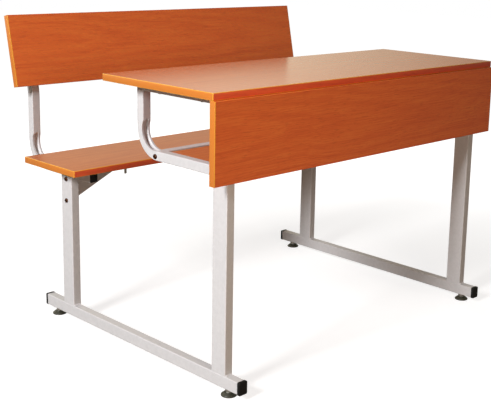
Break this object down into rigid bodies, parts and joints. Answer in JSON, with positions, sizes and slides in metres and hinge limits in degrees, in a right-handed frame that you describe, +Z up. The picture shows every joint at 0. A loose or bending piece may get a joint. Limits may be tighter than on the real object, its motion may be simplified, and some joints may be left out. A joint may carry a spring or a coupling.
{
  "type": "school desk with bench",
  "caption": "School desk with attached bench: fixed laminated top over an open book shelf, modesty panel, seat and leaning backrest on welded tube side frames with levelling feet.",
  "frame": {"origin": "on the floor under the middle of the whole desk", "axes": "+Z up, +X along the length of the boards, +Y from the modesty panel towards the bench"},
  "size_m": [1.13, 0.9502, 0.8672],
  "materials": {
    "laminate": "satin laminate",
    "edge_band": "satin edge band",
    "powder_coat": "light grey powder coat",
    "black_plastic": "moulded",
    "foot_plastic": "moulded",
    "dark_bolt": "black oxide",
    "zinc": "zinc plated"
  },
  "bodies": {
    "frame": {"back_tube_plug_left": "black_plastic", "back_tube_plug_right": "black_plastic", "backrest": "laminate", "backrest_edge_band": "edge_band", "backrest_screws": "zinc", "bench_bent_tube_left": "powder_coat", "bench_bent_tube_right": "powder_coat", "desk_bent_tube_left": "powder_coat", "desk_bent_tube_right": "powder_coat", "desk_top": "laminate", "desk_top_edge_band": "edge_band", "desk_top_tube_left": "powder_coat", "desk_top_tube_right": "powder_coat", "foot_rail_left": "powder_coat", "foot_rail_right": "powder_coat", "foot_weld_nuts": "zinc", "front_leg_left": "powder_coat", "front_leg_right": "powder_coat", "gusset_bolts": "dark_bolt", "gusset_nuts": "zinc", "modesty_panel": "laminate", "modesty_panel_edge_band": "edge_band", "panel_bolts": "dark_bolt", "rail_cap_front_left": "black_plastic", "rail_cap_front_right": "black_plastic", "rail_cap_rear_left": "black_plastic", "rail_cap_rear_right": "black_plastic", "rear_leg_left": "powder_coat", "rear_leg_right": "powder_coat", "seat": "laminate", "seat_arm_plug_left": "black_plastic", "seat_arm_plug_right": "black_plastic", "seat_cross_rail": "powder_coat", "seat_edge_band": "edge_band", "seat_gusset_left": "powder_coat", "seat_gusset_right": "powder_coat", "seat_screws": "zinc", "seat_stud_nuts": "zinc", "seat_studs": "zinc", "shelf": "laminate", "shelf_edge_band": "edge_band", "shelf_lugs_left": "powder_coat", "shelf_lugs_right": "powder_coat", "shelf_rail_bolts": "dark_bolt", "shelf_rear_rail": "powder_coat", "shelf_screws": "zinc", "top_screws": "zinc"},
    "foot_pad_front_left": {"foot_pad_front_left": "foot_plastic"},
    "foot_stem_front_left": {"foot_stem_front_left": "zinc"},
    "foot_pad_front_right": {"foot_pad_front_right": "foot_plastic"},
    "foot_stem_front_right": {"foot_stem_front_right": "zinc"},
    "foot_pad_rear_left": {"foot_pad_rear_left": "foot_plastic"},
    "foot_stem_rear_left": {"foot_stem_rear_left": "zinc"},
    "foot_pad_rear_right": {"foot_pad_rear_right": "foot_plastic"},
    "foot_stem_rear_right": {"foot_stem_rear_right": "zinc"}
  },
  "joints": [
    {"name": "drop_front_left", "type": "slide", "parent": "frame", "child": "foot_pad_front_left", "axis": [0, 0, -1], "range_m": [0, 0.012]},
    {"name": "turn_front_left", "type": "hinge", "parent": "foot_pad_front_left", "child": "foot_stem_front_left", "pos_m": [-0.4965, -0.42412, 0], "axis": [0, 0, -1], "range_deg": [0, 2880]},
    {"name": "drop_front_right", "type": "slide", "parent": "frame", "child": "foot_pad_front_right", "axis": [0, 0, -1], "range_m": [0, 0.012]},
    {"name": "turn_front_right", "type": "hinge", "parent": "foot_pad_front_right", "child": "foot_stem_front_right", "pos_m": [0.4965, -0.42412, 0], "axis": [0, 0, -1], "range_deg": [0, 2880]},
    {"name": "drop_rear_left", "type": "slide", "parent": "frame", "child": "foot_pad_rear_left", "axis": [0, 0, -1], "range_m": [0, 0.012]},
    {"name": "turn_rear_left", "type": "hinge", "parent": "foot_pad_rear_left", "child": "foot_stem_rear_left", "pos_m": [-0.4965, 0.31388, 0], "axis": [0, 0, -1], "range_deg": [0, 2880]},
    {"name": "drop_rear_right", "type": "slide", "parent": "frame", "child": "foot_pad_rear_right", "axis": [0, 0, -1], "range_m": [0, 0.012]},
    {"name": "turn_rear_right", "type": "hinge", "parent": "foot_pad_rear_right", "child": "foot_stem_rear_right", "pos_m": [0.4965, 0.31388, 0], "axis": [0, 0, -1], "range_deg": [0, 2880]}
  ],
  "couplings": [
    {"joint": "turn_front_left", "follows": "drop_front_left", "rad_per_m": 4188.8},
    {"joint": "turn_front_right", "follows": "drop_front_right", "rad_per_m": 4188.8},
    {"joint": "turn_rear_left", "follows": "drop_rear_left", "rad_per_m": 4188.8},
    {"joint": "turn_rear_right", "follows": "drop_rear_right", "rad_per_m": 4188.8}
  ]
}
